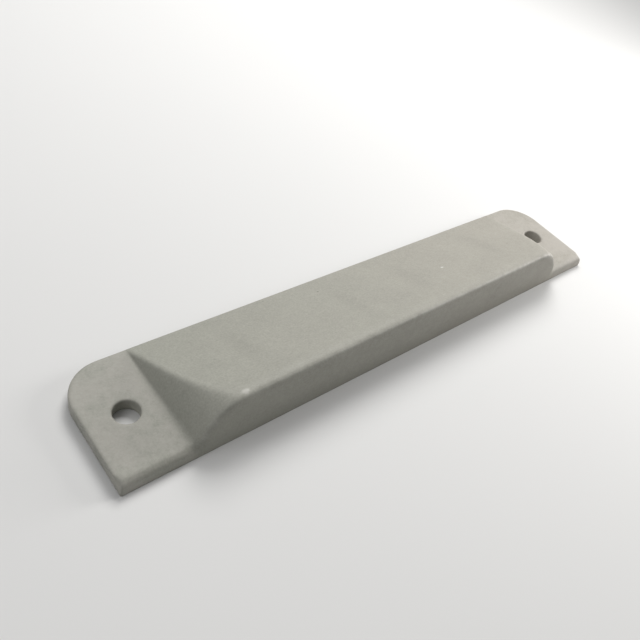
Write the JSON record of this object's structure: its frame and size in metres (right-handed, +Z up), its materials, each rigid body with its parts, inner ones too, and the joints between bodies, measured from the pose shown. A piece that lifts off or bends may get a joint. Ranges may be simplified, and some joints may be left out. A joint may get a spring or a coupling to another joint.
{
  "type": "screw-on identification tag",
  "caption": "Low wedge-shaped moulded tag with a flat screw ear at each end and a sealed antenna inside, screwed to a metal face so that a reader gate can detect it.",
  "frame": {"origin": "middle of the underside, on the surface that the tag is screwed to", "axes": "+X along the tag from the left ear to the right ear, -Y towards the tall front side, +Z up from the mounting surface"},
  "size_m": [0.155, 0.0288, 0.0123],
  "materials": {
    "housing_plastic": "pale grey moulded plastic, fine matt texture, faint mottling",
    "cover_plastic": "the same grey plastic, a little duller",
    "sealant": "off-white cured sealant",
    "copper_layer": "bare copper foil, slightly dull",
    "core_laminate": "glass-fibre laminate with a faint weave",
    "chip_resin": "black moulding resin",
    "solder": "dull tin solder",
    "glob_resin": "glossy black potting drop",
    "foam": "dark closed-cell foam"
  },
  "bodies": {
    "root": {"housing": "housing_plastic", "base_cover": "cover_plastic", "cover_sealant": "sealant", "ground_plane": "copper_layer", "antenna_core": "core_laminate", "radiator_left": "copper_layer", "radiator_right": "copper_layer", "matching_loop": "copper_layer", "shorting_strap_left": "copper_layer", "shorting_strap_right": "copper_layer", "chip": "chip_resin", "solder_left": "solder", "solder_right": "solder", "chip_glob_top": "glob_resin", "foam_wedge_left": "foam", "foam_wedge_right": "foam"}
  },
  "joints": []
}
